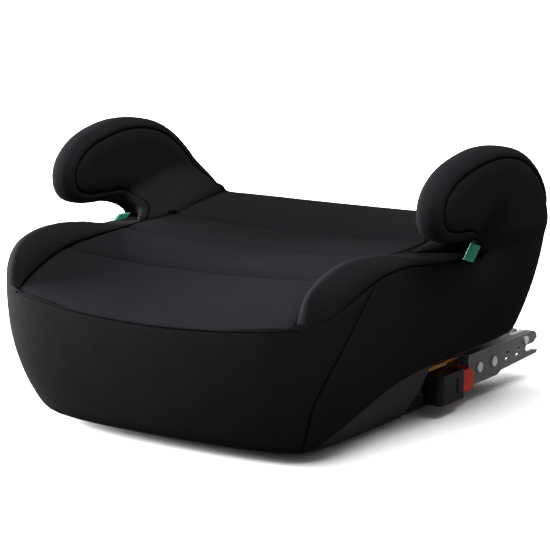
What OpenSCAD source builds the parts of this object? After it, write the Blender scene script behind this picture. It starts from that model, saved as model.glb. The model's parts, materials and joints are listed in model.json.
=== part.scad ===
// Child booster seat with a sliding pair of rigid anchor connectors.
// Millimetres. +Z is up and the child faces -Y. The origin is on the floor, under the middle of the body.

/* [Body] */
// Depth of the padded body, front bulge to rear edge
body_d = 355; // [345:1:365]
// Height of the seat surface over the middle of the body
seat_h = 147; // [144:1:150]
// Half width of the fabric at the front, where it is widest
front_half_w = 171; // [168:1:173]
// Half width of the fabric beside the arms
rear_half_w = 205; // [202:1:207]
// Half width of the fabric where it meets the floor
foot_half_w = 134; // [132:1:136]
// How far the front bulges ahead of its corners
front_bulge = 12; // [8:1:16]

/* [Arms] */
// Height of the top of the arms
arm_top = 235; // [231:1:239]
// Thickness of a padded arm
arm_t = 36; // [34:1:38]

/* [Connectors] */
// Centre distance of the two connectors, set by the car's anchor bars
anchor_pitch = 280; // [280]
// Radius of the jaw throat that takes a 6 mm anchor bar
jaw_r = 3.15; // [3.1:0.05:3.2]
// Sheet thickness of the steel brackets
sheet = 2.5; // [2.4:0.1:2.6]
// Travel of a release cap between released and locked
cap_travel = 8; // [7:0.5:8]

/* [Hidden] */

// ---- shared sizes ----
rear_y = body_d / 2;
fabric_t = 4;                        // laminated fabric
wall_t = 3;                          // moulded wall
gap = 0.4;                           // clearance between neighbouring soft pieces
deck_z = 116;                        // top of the moulded deck
deck_gap = 0.4;
skirt_rear_z = 59;                   // lower edge of the fabric beside the connectors
pocket_z = 57;                       // roof of the connector pockets
bottom_z = 2;                        // underside of the tray, above its rubber feet
shoulder_z = 180;                    // height at which the sides are widest
round_front = 10;                    // superellipse powers of the body's plan outline
round_rear = 7;
steps = 72;                          // points in a full plan outline
rear_seam = 12;                      // distance of the rear seams from the rear edge
seam_x = 139;                        // where the front seam meets the bolsters
arm_y = 42;                          // rear wall of the lap belt slot
arm_foot_z = 144;                    // lower edge of an arm pad

// ---- connector sizes, for the right connector centred on x = 0 ----
arm_x = anchor_pitch / 2;
channel_w = 22;
plate_x = channel_w / 2 - sheet;     // inner side of a bracket plate
bracket_z = [20, 45];                // lower and upper edge of the bracket
jaw = [204.5, 30.2];                 // y, z of the jaw throat's centre
hook_axis = [200.5, 38.6];           // y, z of the hook's pivot
hook_pin_r = 2.2;
hook_w = 8;
running = 0.05;                      // radial clearance of a running fit
rivet_r = 3;
rivet_ys = [111.5, 138.5];
cap_y = [36, 75];
cap_z = [11.5, 37.5];
tube_r = 8;
tube_pos = [60, 27];                 // y, z of the cross tube
slide_min = -20;                     // travel of the connector frame
slide_max = 60;
rack_pitch = 10;
pocket_x = 124;                      // inner side of the connector pocket in the base
pocket_y = cap_y[0] + slide_min - 10;

// ---- adjuster sizes ----
tooth_y = -30;
lever_axis = [-80, 42];
lever_pin_r = 2.5;
tooth_r = 2.6;
hole_r = 4;

// ================= shape functions =================

function mix(a, b, t) = a + (b - a) * t;
function clamp01(t) = max(0, min(1, t));
function smooth(t) = let (c = clamp01(t)) c * c * (3 - 2 * c);
function arc(c, r, a0, a1, n) = [for (i = [0:n]) let (a = mix(a0, a1, i / n))
    [c[0] + r[0] * cos(a), c[1] + r[1] * sin(a)]];

// Half width of the fabric at depth y and height z, before the corners are rounded
function half_w(y, z) = let (
    v = smooth((y + 60) / 170))
    mix(foot_half_w, mix(front_half_w, rear_half_w, v),
        1 - pow(1 - clamp01(z / shoulder_z), mix(4, 2.1, v)));
function front_y(z) = front_bulge - rear_y + 22 * pow(1 - clamp01(z / 110), 2.8);

// Plan outline at angle t (0 = right side, -90 = front) and height z, moved inwards by inset.
// back moves only the front edge backwards.
function outline_pt(t, z, inset = 0, back = 0) = let (
    y0 = front_y(z) + inset + back,
    y1 = rear_y - inset,
    p = sin(t) < 0 ? round_front : round_rear,
    k = pow(pow(abs(cos(t)), p) + pow(abs(sin(t)), p), -1 / p),
    c = k * cos(t),
    s = k * sin(t),
    y = (y0 + y1) / 2 + s * (y1 - y0) / 2)
    [c * (half_w(y, z) - inset), s < 0 ? y - front_bulge * (1 - c * c) * pow(s, 4) : y, z];
function outline(z, inset = 0, back = 0) =
    [for (i = [0:steps - 1]) outline_pt(360 * i / steps, z, inset, back)];

// Angle of the outline at depth y, half width there, and the front's depth at a given x
function along(y, z, inset = 0) = let (m = (front_y(z) + rear_y) / 2)
    max(-1, min(1, (y - m) / (rear_y - m - inset)));
function round_at(v) = let (p = v < 0 ? round_front : round_rear) pow(max(0, 1 - pow(abs(v), p)), 1 / p);
function angle_at(y, z) = atan2(along(y, z), round_at(along(y, z)));
function side_x(y, z, inset = 0) = (half_w(y, z) - inset) * round_at(along(y, z, inset));
function nose_y(x, z) = let (
    c = min(1, abs(x) / half_w(-rear_y, z)),
    s = round_at(-c),
    m = (front_y(z) + rear_y) / 2)
    m - s * (rear_y - m) - front_bulge * (1 - c * c) * pow(s, 4);

// Seat surface: a dished plane rising slightly to the rear, rolled over the front edge, with sewn channels
roll_y = -86;
channel_ys = [-99, -20, 52];
function seam_z(x) = 104 + 9 * pow(abs(x) / seam_x, 2);
function channel(y) = max([for (c = channel_ys) 2.5 * (1 - smooth(abs(y - c) / 9))]);
function seat_z(x, y) = let (
    dish = 5 * pow(abs(x) / 128, 2) - 4,
    u = clamp01((roll_y - y) / (roll_y - nose_y(x, 108))))
    mix(seat_h + 0.055 * y + dish - channel(y), seam_z(x), pow(u, 2.1));
// Seams on either side of a bolster, and its crown
function inner_x(y) = 128 + (seam_x - 128) * pow(clamp01((-60 - y) / 95), 1.6)
    + 36 * smooth((y - 30) / 190);
function outer_z(y) = 113 + 34 * (1 - pow(1 - clamp01((y + 164) / 110), 2.2)) - 3 * smooth((y + 45) / 45);
function crest_z(y) = 113 + 46 * pow(clamp01((y + 160) / 45), 0.36) - 10 * smooth((y + 85) / 75);
// Lower edge of the fabric on the sides
function skirt_z(y) = mix(6, skirt_rear_z, 1 - pow(1 - clamp01((y + 138) / 190), 2.2));
// The sewn seam between the front panel and a side panel
function corner_seam_y(z) = front_y(z) + 9 + 57 * pow(clamp01((z - 40) / 98), 1.9);

// ================= mesh helpers =================

// Closed solid between two point grids of the same size, top[i][j] over bottom[i][j]
module sheet_solid(top, bottom) {
    m = len(top);
    n = len(top[0]);
    k = m * n;
    points = concat([for (r = top) for (p = r) p], [for (r = bottom) for (p = r) p]);
    grid = [for (i = [0:m - 2]) for (j = [0:n - 2])
        [i * n + j, i * n + j + 1, (i + 1) * n + j + 1, (i + 1) * n + j]];
    upper = [for (q = grid) for (f = [[q[2], q[1], q[0]], [q[3], q[2], q[0]]]) f];
    lower = [for (q = grid) for (f = [[q[0], q[1], q[2]], [q[0], q[2], q[3]]])
        [f[0] + k, f[1] + k, f[2] + k]];
    rim = concat(
        [for (j = [0:n - 2]) [j, j + 1]],
        [for (i = [0:m - 2]) [i * n + n - 1, (i + 1) * n + n - 1]],
        [for (j = [0:n - 2]) [(m - 1) * n + n - 1 - j, (m - 1) * n + n - 2 - j]],
        [for (i = [0:m - 2]) [(m - 1 - i) * n, (m - 2 - i) * n]]);
    sides = [for (e = rim) for (f = [[e[0], e[1], e[0] + k], [e[1], e[1] + k, e[0] + k]]) f];
    polyhedron(points = points, faces = concat(upper, lower, sides), convexity = 8);
}

// Tub open at the bottom: outer rings and inner rings, each listed from the bottom up and capped
module tub_solid(outer, inner) {
    n = len(outer[0]);
    a = len(outer);
    b = len(inner);
    points = concat([for (r = outer) for (p = r) p], [for (r = inner) for (p = r) p],
        [[0, 0, outer[a - 1][0][2]], [0, 0, inner[b - 1][0][2]]]);
    base = a * n;
    top_c = base + b * n;
    in_c = top_c + 1;
    function quad(p, q, r, s) = [[p, q, r], [p, r, s]];
    outer_f = [for (i = [0:a - 2]) for (j = [0:n - 1])
        for (f = quad(i * n + j, (i + 1) * n + j, (i + 1) * n + (j + 1) % n, i * n + (j + 1) % n)) f];
    inner_f = [for (i = [0:b - 2]) for (j = [0:n - 1])
        for (f = quad(base + i * n + j, base + i * n + (j + 1) % n, base + (i + 1) * n + (j + 1) % n,
                      base + (i + 1) * n + j)) f];
    rim_f = [for (j = [0:n - 1]) for (f = quad(j, (j + 1) % n, base + (j + 1) % n, base + j)) f];
    cap_f = [for (j = [0:n - 1]) [(a - 1) * n + (j + 1) % n, (a - 1) * n + j, top_c]];
    incap_f = [for (j = [0:n - 1]) [base + (b - 1) * n + j, base + (b - 1) * n + (j + 1) % n, in_c]];
    polyhedron(points = points, faces = concat(outer_f, inner_f, rim_f, cap_f, incap_f), convexity = 8);
}

// Prism along X of a profile drawn in (y, z)
module along_x(x0, x1) translate([x0, 0, 0]) rotate([90, 0, 90]) linear_extrude(x1 - x0) children();
module round_rect(w, d, r) {
    square([w - 2 * r, d], center = true);
    square([w, d - 2 * r], center = true);
    for (x = [-1, 1], y = [-1, 1]) translate([x * (w / 2 - r), y * (d / 2 - r)]) circle(r, $fn = 40);
}
module round_box(p0, p1, r) {
    s = p1 - p0;
    translate([(p0[0] + p1[0]) / 2, (p0[1] + p1[1]) / 2, p0[2]])
        linear_extrude(s[2]) round_rect(s[0], s[1], r);
}
module block(p0, p1) translate(p0) cube(p1 - p0);
module mirrored(side) mirror([side < 0 ? 1 : 0, 0, 0]) children();
module x_rod(x0, x1, yz, r) translate([x0, yz[0], yz[1]]) rotate([0, 90, 0])
    cylinder(r = r, h = x1 - x0, $fn = 48);

// ================= moulded base =================

shell_inset = fabric_t + 2;
shell_levels = [bottom_z + wall_t + 0.5, 13, 22, 34, 48, 68, 94, deck_z];
deck_step = len(shell_levels) - 2;   // level below the deck
shell_nose = 46;                     // the deck slopes down over this length at the front
function shell_top(y) = mix(shell_levels[deck_step], deck_z, clamp01((y + 173) / (shell_nose - 2)));
boss_pos = [for (x = [-1, 1], y = [-95, 10, 145]) [x * 88, y]];
arm_screw_ys = [72, 112];

module pocket_cut() for (s = [-1, 1]) mirrored(s)
    block([pocket_x, pocket_y, bottom_z - 5], [240, rear_y + 30, pocket_z]);

module base_shell() color("dimgray") {
    difference() {
        tub_solid(
            [for (z = shell_levels) outline(z, shell_inset, z == deck_z ? shell_nose : 0)],
            [for (z = shell_levels) let (top = z == deck_z)
                [for (p = outline(z, shell_inset + wall_t, top ? shell_nose : 0))
                    [p[0], p[1], top ? z - wall_t : z]]]);
        pocket_cut();
        for (s = [-1, 1]) arm_screw_holes(s);
    }
    for (s = [-1, 1]) mirrored(s) pocket_lining();
    for (p = boss_pos) translate([p[0], p[1], shell_levels[0]]) screw_boss();
    for (x = [-15, 12]) difference() {
        block([x, lever_axis[0] - 7, lever_axis[1] - 7], [x + 3, lever_axis[0] + 7, deck_z - 1]);
        x_rod(x - 1, x + 4, lever_axis, lever_pin_r + 0.02);
    }
}

// Wall and roof that close the shell along a connector pocket, with the slot for the cross tube
module pocket_lining() {
    difference() {
        block([pocket_x - wall_t, pocket_y - wall_t, shell_levels[0]],
              [pocket_x, rear_y - 9, pocket_z + wall_t]);
        block([pocket_x - 10, tube_pos[0] + slide_min - tube_r - 2, tube_pos[1] - tube_r - 2],
              [pocket_x + 10, tube_pos[0] + slide_max + tube_r + 2, tube_pos[1] + tube_r + 2]);
    }
    block([pocket_x - 1, pocket_y - wall_t, pocket_z],
          [side_x(pocket_y, pocket_z) - shell_inset - 1.5, rear_y - 40, pocket_z + wall_t]);
}

module screw_boss() difference() {
    cylinder(r = 5, h = deck_z - wall_t / 2 - shell_levels[0], $fn = 48);
    translate([0, 0, -1]) cylinder(r = 1.7, h = 26, $fn = 32);
}

// Bottom cover with its stiffening ribs, grip opening for the adjuster and slots for the cover's elastics
grip = [[-24, -139], [24, -106]];
module base_tray() color("gray") difference() {
    union() {
        translate([0, 0, bottom_z]) linear_extrude(wall_t)
            polygon([for (p = outline(bottom_z, 12, 10)) [p[0], p[1]]]);
        for (y = [-60, 20, 90]) block([-76, y, bottom_z + 1], [76, y + 2.5, bottom_z + 13]);
    }
    for (p = boss_pos) translate([p[0], p[1], bottom_z - 1]) cylinder(r = 2.2, h = 8, $fn = 40);
    round_box([grip[0][0], grip[0][1], bottom_z - 1], [grip[1][0], grip[1][1], bottom_z + 8], 8);
    for (p = elastic_pos)
        round_box([p[0] - 7, p[1] - 3, bottom_z - 1], [p[0] + 7, p[1] + 3, bottom_z + 8], 2.5);
}

module tray_screws() color("silver") for (p = boss_pos) translate([p[0], p[1], bottom_z - 1.2]) {
    cylinder(r1 = 3.4, r2 = 3.8, h = 1.2, $fn = 40);
    cylinder(r = 1.65, h = 22, $fn = 32);
}

foot_pos = [[0, 0], [-60, -118], [60, -118], [-60, 150], [60, 150]];
module rubber_feet() color("black") for (p = foot_pos)
    translate([p[0], p[1], 0]) linear_extrude(bottom_z) round_rect(34, 14, 6);

elastic_pos = [for (x = [-1, 1], y = [-75, 45, 105]) [x * 106, y]];
// Elastic loops of the fabric cover, each ending in a small bar that turns and locks behind its slot
module cover_elastics() color("black") for (p = elastic_pos) {
    round_box([p[0] - 4.5, p[1] - 1.2, bottom_z - 1.4], [p[0] + 4.5, p[1] + 1.2, bottom_z + 9], 1);
    round_box([p[0] - 10, p[1] - 2.2, bottom_z - 1.9], [p[0] + 10, p[1] + 2.2, bottom_z - 0.1], 2);
}

// ================= soft goods =================

seat_cols = 14;
seat_vs = [0, 0.035, 0.08, 0.13, 0.19];
function channel_rows(c) = [for (d = [-9, -4, 0, 4, 9]) c + d];
seat_ys = concat(channel_rows(channel_ys[0]), channel_rows(channel_ys[1]), [20],
    channel_rows(channel_ys[2]), [84, 118, 150, rear_y - 6]);
// Point of the seat at column j; the first rows start on the curved front edge
function seat_x(j, y, edge) = mix(-1, 1, j / seat_cols) * (inner_x(y) - edge);
function seat_front_y(j, v, back) = let (x = mix(-1, 1, j / seat_cols) * seam_x)
    mix(nose_y(x, 108) + back, channel_ys[0] - 9, v / 0.26);
function seat_rows(drop, edge, back, y_max) = concat(
    [for (v = seat_vs) [for (j = [0:seat_cols]) let (y = seat_front_y(j, v, back), x = seat_x(j, y, edge))
        [x, y, seat_z(x, y) - drop]]],
    [for (y0 = seat_ys) let (y = min(y0, y_max)) [for (j = [0:seat_cols]) let (x = seat_x(j, y, edge))
        [x, y, seat_z(x, y) - drop]]]);
function flattened(rows, z) = [for (r = rows) [for (p = r) [p[0], p[1], z]]];

module seat_cover() color([0.07, 0.07, 0.08]) sheet_solid(
    seat_rows(0, gap, 0, rear_y - 6),
    seat_rows(fabric_t, gap, fabric_t, rear_y - 6));

foam_back = 58;                      // the foam starts this far behind the front edge, on the flat deck
module seat_foam() color("whitesmoke") {
    rows = seat_rows(fabric_t + gap, 6, foam_back, rear_y - 12);
    sheet_solid(rows, flattened(rows, deck_z + deck_gap));
}

// Foam under an arm, around the foot of its core
foam_side_ys = [for (i = [0:7]) mix(arm_y + 1, rear_y - rear_seam - 5, i / 7)];
module side_foam(side) color("whitesmoke") mirrored(side) difference() {
    sheet_solid(
        [for (y = foam_side_ys) [for (t = [0, 1])
            [mix(inner_x(y) + gap, side_x(y, deck_z, shell_inset), t), y, arm_foot_z - gap]]],
        [for (y = foam_side_ys) [for (t = [0, 1])
            [mix(inner_x(y) + gap, side_x(y, deck_z, shell_inset), t), y, deck_z + deck_gap]]]);
    core_space();
}

// Padded strip beside the seat, crowned between its inner seam and the seam of the side panel
bolster_ys = [for (i = [0:14]) mix(-156, arm_y - 1, pow(i / 14, 1.35))];
function bolster_pt(y, t, z1, low) = let (
    x0 = inner_x(y) + 2 * gap,
    x1 = max(side_x(y, z1, fabric_t + 2.6), x0 + 2),
    z0 = seat_z(x0, y),
    h = max(0, crest_z(y) - (z0 + z1) / 2))
    [mix(x0, x1, t), y, low ? shell_top(y) + deck_gap : mix(z0, z1, t) + h * pow(4 * t * (1 - t), 0.7)];
module bolster(side) color([0.07, 0.07, 0.08]) mirrored(side) sheet_solid(
    [for (y = bolster_ys) [for (j = [0:8]) bolster_pt(y, j / 8, outer_z(y), false)]],
    [for (y = bolster_ys) [for (j = [0:8]) bolster_pt(y, j / 8, deck_z, true)]]);

// Front panel: wraps both corners, from the floor edge to the seam under the seat cover
front_cols = 36;
front_rows = 9;
function front_top(t) = let (p = outline_pt(t, 114))
    abs(p[0]) < seam_x + 6 ? seam_z(min(abs(p[0]), seam_x)) - fabric_t - 3 : outer_z(p[1]);
function front_angle(u, z) = -90 + u * (90 + angle_at(corner_seam_y(z) - gap, z));
function front_pt(i, j, inset) = let (
    u = mix(-1, 1, j / front_cols),
    edge_z = front_top(front_angle(u, front_top(front_angle(u, 110)))),
    z = mix(5, edge_z, pow(i / front_rows, 1.4)))
    outline_pt(front_angle(u, z), z, inset);
module front_panel() color([0.07, 0.07, 0.08]) sheet_solid(
    [for (i = [0:front_rows]) [for (j = [0:front_cols]) front_pt(i, j, 0)]],
    [for (i = [0:front_rows]) [for (j = [0:front_cols]) front_pt(i, j, fabric_t)]]);

// Side panel: from the corner seam to the rear edge, under the bolster and the arm
side_rows = 9;
side_cols = 22;
function side_pt(i, j, inset) = let (
    u = j / side_cols,
    v = i / side_rows,
    ya = mix(corner_seam_y(mix(8, 132, v)), rear_y - rear_seam, u),
    z = mix(skirt_z(ya), ya < arm_y ? outer_z(ya) : arm_foot_z - gap, v))
    outline_pt(angle_at(mix(corner_seam_y(z) + gap, rear_y - rear_seam, u), z), z, inset);
module side_panel(side) color([0.06, 0.06, 0.07]) mirrored(side) sheet_solid(
    [for (i = [0:side_rows]) [for (j = [0:side_cols]) side_pt(i, j, 0)]],
    [for (i = [0:side_rows]) [for (j = [0:side_cols]) side_pt(i, j, fabric_t)]]);

// Rear panel: closes the cover between the side panels, above the connector pockets
rear_cols = 20;
rear_rows = 5;
function rear_pt(i, j, inset) = let (
    z = mix(52, arm_foot_z - gap, i / rear_rows),
    a = 90 - angle_at(rear_y - rear_seam, z) - gap)
    outline_pt(90 + mix(-1, 1, j / rear_cols) * a, z, inset);
module rear_panel() color([0.06, 0.06, 0.07]) sheet_solid(
    [for (i = [0:rear_rows]) [for (j = [0:rear_cols]) rear_pt(i, j, 0)]],
    [for (i = [0:rear_rows]) [for (j = [0:rear_cols]) rear_pt(i, j, fabric_t)]]);

// ================= arms =================

core_t = 12;
core_foot_x = 176;
core_lean = 6.5;                     // outward lean of the core, in degrees
nose_yz = [-48, 190];                // tip of an arm, in y, z
// Upper edge of an arm from its nose over the top to the rear, and lower edge back under the nose
arm_upper = concat(
    arc([nose_yz[0] + 30, 203], [31, 18], 190, 128, 4),
    arc([30, 187], [100, arm_top - 187], 124, 42, 8),
    [[121, 207], [138, 190], [153, 173], [163, 158], [rear_y - rear_seam, arm_foot_z + 2]]);
arm_lower = concat(
    arc([nose_yz[0] + 26, 184], [26, 19], 190, 270, 4),
    [[2, 165], [26, 163]],
    arc([26, 150], [arm_y - 26, 12], 75, 0, 3),
    [for (i = [0:5]) [mix(arm_y, rear_y - rear_seam, i / 5), arm_foot_z]]);
across = [0, 0.1, 0.24, 0.42, 0.6, 0.78, 0.92, 1];
// Share of the thickness left near the rim of the profile, t of the way across it
function edge_round(t, foot) = let (d = foot ? t : min(t, 1 - t))
    0.62 + 0.38 * sqrt(1 - pow(1 - clamp01(d / 0.24), 2));
function arm_out_x(y, z) = mix(side_x(y, z), rear_half_w * round_at(along(y, shoulder_z)) + 1,
    smooth((z - arm_foot_z) / 22));
function arm_in_x(y, z) = let (sweep = mix(22, 46, smooth((y - 40) / 40)))
    min(arm_out_x(y, z) - 14,
        mix(inner_x(y) + 6, rear_half_w - arm_t + 3, smooth((z - arm_foot_z - 2) / sweep)));
function arm_pt(i, j, inner) = let (
    n = len(arm_upper) - 1,
    a = arm_upper[i],
    k = i * (len(arm_lower) - 1) / n,
    b0 = arm_lower[floor(k)],
    b1 = arm_lower[min(ceil(k), len(arm_lower) - 1)],
    b = b0 + (b1 - b0) * (k - floor(k)),
    t = across[j],
    p = a + (b - a) * t,
    e = edge_round(t, i > 8),
    xo = arm_out_x(p[0], p[1]),
    xi = arm_in_x(p[0], p[1]),
    m = (xo + xi) / 2)
    [inner ? mix(m, xi, e) : mix(m, xo, e), p[0], p[1]];

module core_leaned() translate([core_foot_x, 0, deck_z]) rotate([0, core_lean, 0])
    translate([0, 0, -deck_z]) children();
core_profile = concat(
    arc([-14, 190], [18, 14], 250, 110, 5),
    arc([30, 190], [78, arm_top - 190 - 16], 95, 20, 5),
    [[112, 176], [118, 160], [118, 140], [60, 140], [60, 160], [52, 174]]);
module core_space() core_leaned() {
    along_x(-core_t / 2 - gap, core_t / 2 + gap) offset(delta = gap) polygon(core_profile);
    block([-core_t / 2 - gap, 56, deck_z - 2], [core_t / 2 + gap, 122, 150]);
}
module arm_core(side) color("dimgray") mirrored(side) difference() {
    core_leaned() {
        along_x(-core_t / 2, core_t / 2) polygon(core_profile);
        block([-core_t / 2, 60, deck_z + 2], [core_t / 2, 118, 142]);
    }
    core_leaned() for (y = arm_screw_ys) translate([0, y, deck_z - 4]) cylinder(r = 1.6, h = 18, $fn = 32);
}

module arm_screw_holes(side) mirrored(side) core_leaned() for (y = arm_screw_ys)
    translate([0, y, deck_z - 20]) cylinder(r = 2.2, h = 24, $fn = 32);
module arm_screws(side) color("silver") mirrored(side) core_leaned() for (y = arm_screw_ys) {
    translate([0, y, deck_z - 7.5]) cylinder(r = 3.4, h = 2.4, $fn = 40);
    translate([0, y, deck_z - 7.5]) cylinder(r = 1.55, h = 20, $fn = 32);
}

// Foam and fabric of one arm: a hook that reaches forward over the lap belt's slot
module arm_pad(side) color([0.07, 0.07, 0.08]) mirrored(side) difference() {
    sheet_solid(
        [for (i = [0:len(arm_upper) - 1]) [for (j = [0:len(across) - 1]) arm_pt(i, j, false)]],
        [for (i = [0:len(arm_upper) - 1]) [for (j = [0:len(across) - 1]) arm_pt(i, j, true)]]);
    core_space();
}

// Green tab sewn in at the foot of the belt slot
module belt_guide(side) color([0.05, 0.42, 0.27]) mirrored(side)
    translate([side_x(30, 147) + 4.6, 30, 148]) rotate([38, 0, 0]) rotate([0, 92, 0])
        linear_extrude(2.4, center = true) round_rect(20, 16, 1.5);

// ================= connectors =================

module at_arm(side) mirrored(side) translate([arm_x, 0, 0]) children();

// Side outline of a bracket plate in (y, z), front edge at y0, with the open jaw at its rear end
module plate_profile(y0) difference() {
    polygon([
        [y0, bracket_z[0] - 3], [y0, bracket_z[1]], [214, bracket_z[1]], [221, 43], [224, 37.5],
        [jaw[0] + 13, jaw[1] + jaw_r + 0.6], [jaw[0] + 13, jaw[1] - jaw_r - 0.2], [225, 25.4], [223, 22.6],
        [170, bracket_z[0] + 0.5], [154, bracket_z[0]], [146, bracket_z[0] - 3]]);
    translate(jaw) circle(jaw_r, $fn = 48);
    translate([jaw[0], jaw[1] - jaw_r]) square([30, 2 * jaw_r]);
    translate(hook_axis) circle(hook_pin_r + running, $fn = 48);
    for (y = rivet_ys) translate([y, 31]) circle(rivet_r, $fn = 48);
    for (y = [165.5, 186], z = [28, 33.8]) translate([y, z]) round_rect(9, 2.4, 1.1);
}

module bracket(side) color([0.2, 0.2, 0.21]) at_arm(side) {
    along_x(plate_x, plate_x + sheet) plate_profile(cap_y[1] + 18);
    along_x(-plate_x - sheet, -plate_x) plate_profile(cap_y[0] + 6);
    difference() {
        block([-plate_x - 0.1, cap_y[1] + 18, bracket_z[1] - sheet], [plate_x + 0.1, 214, bracket_z[1]]);
        block([-hook_w / 2 - 0.7, 187, bracket_z[1] - 6], [hook_w / 2 + 0.7, 230, bracket_z[1] + 2]);
    }
}

module bracket_rivets(side) color("silver") at_arm(side) for (y = rivet_ys) {
    x_rod(-plate_x - sheet - 1, plate_x + sheet + 1, [y, 31], rivet_r - 0.02);
    for (x = [plate_x + sheet + 0.02, -plate_x - sheet - 1.6]) x_rod(x, x + 1.58, [y, 31], rivet_r + 1.6);
}

module cross_tube() color("silver") difference() {
    x_rod(-arm_x + plate_x + sheet + 0.02, arm_x - plate_x - sheet - 0.02, tube_pos, tube_r);
    x_rod(-arm_x, arm_x, tube_pos, tube_r - 1.6);
}

// Flat bar welded to the tube, with one hole for each length setting
module rack_plate() color("silver") difference() {
    block([-12, tooth_y - slide_max - 10, tube_pos[1] - 1.5],
          [12, tube_pos[0] - tube_r - 0.02, tube_pos[1] + 1.5]);
    for (k = [slide_min:rack_pitch:slide_max])
        translate([0, tooth_y - k, tube_pos[1] - 5]) cylinder(r = hole_r, h = 10, $fn = 40);
}

// Red sleeve behind the release cap; the cap covers more of it when the connector is locked
module indicator_sleeve(side) color([0.75, 0.06, 0.04]) at_arm(side) difference() {
    union() {
        round_box([-plate_x + 0.1, cap_y[0] + 14, cap_z[0] + 3],
                  [channel_w / 2 + 2.2, cap_y[1] + 17.7, cap_z[1] - 3], 3);
        x_rod(channel_w / 2 - 1, channel_w / 2 + 2.2, [cap_y[1] + 14, 24.5], 9.9);
    }
    block([-plate_x - 3, cap_y[0] + 10, cap_z[0] + 8], [channel_w / 2 - 4, cap_y[1] + 30, cap_z[1] - 8]);
    block([-plate_x - 3, cap_y[1] + 17.8, 0], [channel_w / 2 + 0.1, cap_y[1] + 60, 60]);
}

// Plastic rail on the base that the bracket's inner plate runs against, grooved for the rivet heads
module guide_rail(side) color("black") mirrored(side) difference() {
    block([pocket_x, 132, 20], [arm_x - channel_w / 2 - 0.3, rear_y - 12, 42]);
    block([arm_x - channel_w / 2 - 2.6, 120, 25.5], [arm_x, rear_y, 36.5]);
}

// Black grip that slides over the red sleeve
module release_cap(side) color([0.02, 0.02, 0.02]) at_arm(side) difference() {
    union() {
        round_box([-4, cap_y[0], cap_z[0]], [channel_w / 2 + 5, cap_y[1], cap_z[1]], 5);
        block([-4, cap_y[0] + 12, cap_z[0]], [channel_w / 2 + 5, cap_y[1], cap_z[1]]);
    }
    block([-plate_x - 2, cap_y[0] + 13.6 - cap_travel, cap_z[0] + 2.4],
          [channel_w / 2 + 2.8, cap_y[1] + 5, cap_z[1] - 2.4]);
    block([channel_w / 2, cap_y[1] - 13, cap_z[0] + 6], [channel_w / 2 + 9, cap_y[1] - 10, cap_z[1] - 6]);
}

// Orange rod that carries the cap's movement back to a wedge under the hook's tail
module release_rod(side) color([0.9, 0.42, 0.12]) at_arm(side) {
    block([-6.5, cap_y[0] + 2, cap_z[1] + 2], [1, cap_y[1] - 4, cap_z[1] + 5]);
    block([-6.5, cap_y[0] + 4, cap_z[1] + 0.02], [-3.9, cap_y[0] + 20, cap_z[1] + 3]);
    block([-6.5, cap_y[1] - 8, cap_z[1] + 1.5], [-3.5, 171, cap_z[1] + 3.7]);
    along_x(-6.5, 3.5) polygon([[166, 37.5], [166, 40.7], [178, 40.2], [188, 31.4], [188, 30], [182, 30]]);
}

hook_inner = 13;
hook_outer = 18;
module hook(side) color("silver") at_arm(side)
    translate([0, hook_axis[0], hook_axis[1]]) along_x(-hook_w / 2, hook_w / 2)
    difference() {
        union() {
            circle(5.6, $fn = 48);
            polygon(concat([[0, 0]], arc([0, 0], [hook_outer, hook_outer], 0, 17, 4),
                [[hook_inner, 4.5], [0, 5]]));
            polygon(concat(arc([0, 0], [hook_outer, hook_outer], -8, 12, 4),
                arc([0, 0], [hook_inner, hook_inner], 12, -8, 4)));
            polygon([[-1, 4.6], [-13.2, -2.9], [-12.6, -5.6], [1, -4.6]]);
        }
        circle(hook_pin_r + running, $fn = 48);
    }

module hook_pin(side) color("silver") at_arm(side) {
    x_rod(-plate_x - sheet - 1, plate_x + sheet + 1, hook_axis, hook_pin_r);
    for (x = [plate_x + sheet + 0.02, -plate_x - sheet - 1.5]) x_rod(x, x + 1.48, hook_axis, 3.8);
}

// Coiled wire along +Z
module coil(r, wire, length, turns, per_turn = 10) {
    n = turns * per_turn;
    function centre(i) = [r * cos(360 * i / per_turn), r * sin(360 * i / per_turn), length * i / n];
    function ring(i) = let (a = 360 * i / per_turn, c = centre(i))
        [for (k = [0:5]) c + wire * (cos(60 * k) * [cos(a), sin(a), 0] + sin(60 * k) * [0, 0, 1])];
    points = [for (i = [0:n]) for (p = ring(i)) p];
    faces = concat(
        [[for (k = [5:-1:0]) k]],
        [for (i = [0:n - 1]) for (k = [0:5]) for (f = [
            [i * 6 + k, i * 6 + (k + 1) % 6, i * 6 + (k + 1) % 6 + 6],
            [i * 6 + k, i * 6 + (k + 1) % 6 + 6, i * 6 + k + 6]]) f],
        [[for (k = [0:5]) n * 6 + k]]);
    polyhedron(points = points, faces = faces, convexity = 10);
}
// Torsion spring on the hook's pin
module hook_spring(side) color("silver") at_arm(side)
    translate([hook_w / 2 + 0.9, hook_axis[0], hook_axis[1]]) rotate([0, 90, 0])
        coil(3.1, 0.45, 2.7, 2, 16);

// ================= length adjuster =================

module adjuster_lever() color("firebrick") {
    difference() {
        union() {
            block([-11, -128, lever_axis[1] - 3], [11, tooth_y + 7, lever_axis[1] + 2]);
            x_rod(-11, 11, lever_axis, 5.5);
            round_box([-18, -134, lever_axis[1] - 34], [18, -127, lever_axis[1] + 2], 3);
        }
        x_rod(-40, 40, lever_axis, lever_pin_r + running);
    }
    translate([0, tooth_y + 1, tube_pos[1] + 2.2])
        cylinder(r = tooth_r, h = lever_axis[1] - tube_pos[1] - 4, $fn = 40);
}

module adjuster_pin() color("silver") x_rod(-18, 18, lever_axis, lever_pin_r);

module adjuster_spring() color("silver")
    translate([0, tooth_y - 10, lever_axis[1] + 2.7])
        coil(3.2, 0.6, deck_z - wall_t - lever_axis[1] - 3.6, 14, 8);

// ================= assembly =================

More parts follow.
